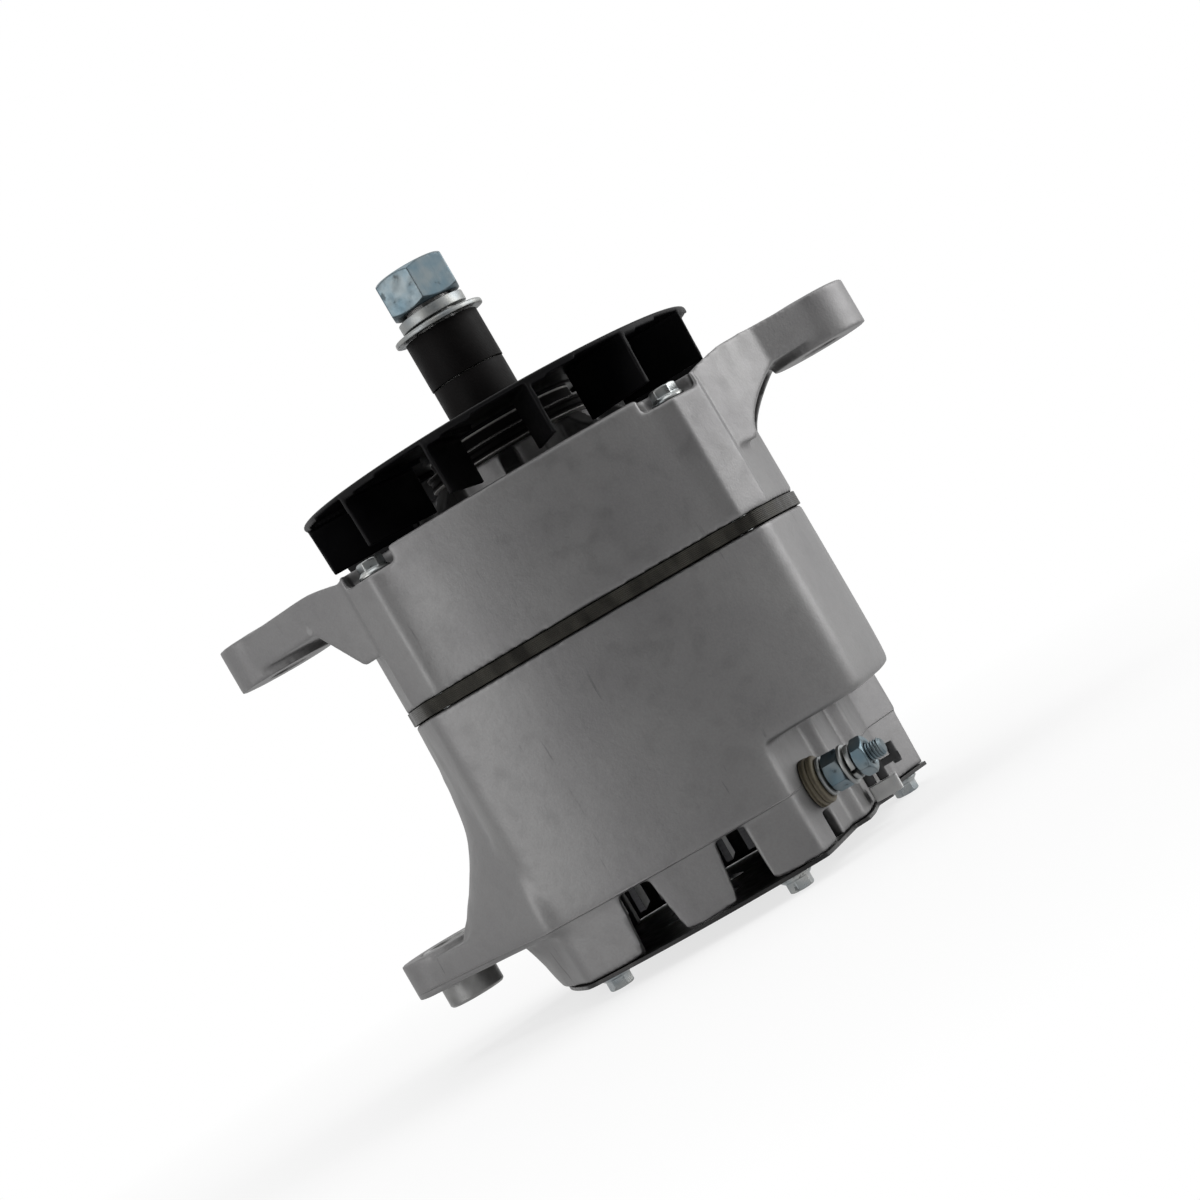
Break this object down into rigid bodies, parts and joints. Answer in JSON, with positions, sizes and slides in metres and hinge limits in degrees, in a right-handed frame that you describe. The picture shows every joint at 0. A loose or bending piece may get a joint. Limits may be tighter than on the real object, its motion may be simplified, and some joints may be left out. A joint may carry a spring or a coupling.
{
  "type": "engine charging alternator",
  "caption": "Belt-driven brushless alternator with two cast housings, hinge ears, an adjusting ear, an external fan and a nutted shaft end for a pulley.",
  "frame": {"origin": "on the shaft axis, in the outer face of the rear cover", "axes": "+Z along the shaft toward the nut, -X toward the hinge ears, +X toward the adjusting ear, -Y toward the output terminal"},
  "size_m": [0.2345, 0.1436, 0.2309],
  "materials": {
    "cast_aluminium": "sand-cast, satin, clear coated",
    "lamination_steel": "dark varnished lamination edges",
    "black_enamel": "semi-gloss black enamel",
    "phosphated_steel": "dark phosphate over turned steel",
    "zinc_plate": "bright zinc plate, slightly blue",
    "bright_steel": "ground or turned steel",
    "coated_sheet": "steel sheet with a dark coat",
    "enamelled_copper": "varnished copper wire",
    "claw_ring_metal": "dull brass",
    "laminated_insulator": "brown laminate washers",
    "black_plastic": "moulded black",
    "pale_plastic": "moulded pale grey",
    "sink_aluminium": "extruded, plain"
  },
  "bodies": {
    "housing": {"rear_housing": "cast_aluminium", "front_housing": "cast_aluminium", "stator_core": "lamination_steel", "cover_screw_1": "zinc_plate", "cover_screw_2": "zinc_plate", "cover_screw_3": "zinc_plate", "cover_screw_4": "zinc_plate", "cover_screw_5": "zinc_plate", "through_bolt_1": "zinc_plate", "through_bolt_2": "zinc_plate", "through_bolt_3": "zinc_plate", "through_bolt_4": "zinc_plate", "output_stud": "zinc_plate", "output_inner_washer": "zinc_plate", "output_inner_nut": "zinc_plate", "output_outer_washer": "zinc_plate", "output_lock_washer": "zinc_plate", "output_outer_nut": "zinc_plate", "bearing_retainer": "zinc_plate", "retainer_screw_1": "zinc_plate", "retainer_screw_2": "zinc_plate", "retainer_screw_3": "zinc_plate", "coil_support_screw_1": "zinc_plate", "coil_support_screw_2": "zinc_plate", "coil_support_screw_3": "zinc_plate", "front_bearing_outer_race": "bright_steel", "rear_bearing_outer_race": "bright_steel", "field_coil_support": "bright_steel", "rear_cover": "coated_sheet", "stator_winding": "enamelled_copper", "field_coil": "enamelled_copper", "output_insulator": "laminated_insulator", "relay_terminal": "black_plastic", "voltage_regulator": "black_plastic", "diode_trio": "black_plastic", "relay_terminal_base": "pale_plastic", "rectifier_heat_sink": "sink_aluminium", "filter_capacitor": "sink_aluminium"},
    "rotor": {"rotor_shaft": "bright_steel", "front_pole_claw": "bright_steel", "rear_pole_claw": "bright_steel", "claw_ring": "claw_ring_metal", "front_bearing_inner_race": "bright_steel", "rear_bearing_inner_race": "bright_steel", "fan_hub_spacer": "phosphated_steel", "cooling_fan": "black_enamel", "rear_pulley_spacer": "phosphated_steel", "front_pulley_spacer": "phosphated_steel", "shaft_flat_washer": "zinc_plate", "shaft_lock_washer": "zinc_plate", "shaft_nut": "zinc_plate"},
    "front_ball_set": {"front_bearing_balls": "bright_steel"},
    "rear_roller_set": {"rear_bearing_rollers": "bright_steel"},
    "slide_bushing": {"foot_slide_bushing": "bright_steel"}
  },
  "joints": [
    {"name": "rotor_spin", "type": "hinge", "parent": "housing", "child": "rotor", "pos_m": [0, 0, 0.1355], "axis": [0, 0, 1], "continuous": true},
    {"name": "front_ball_orbit", "type": "hinge", "parent": "housing", "child": "front_ball_set", "pos_m": [0, 0, 0.1355], "axis": [0, 0, 1], "continuous": true},
    {"name": "rear_roller_orbit", "type": "hinge", "parent": "housing", "child": "rear_roller_set", "pos_m": [0, 0, 0.048], "axis": [0, 0, 1], "continuous": true},
    {"name": "bushing_slide", "type": "slide", "parent": "housing", "child": "slide_bushing", "axis": [0, 0, 1], "range_m": [0, 0.006]}
  ],
  "couplings": [
    {"joint": "front_ball_orbit", "follows": "rotor_spin", "ratio": 0.385},
    {"joint": "rear_roller_orbit", "follows": "rotor_spin", "ratio": 0.405}
  ]
}
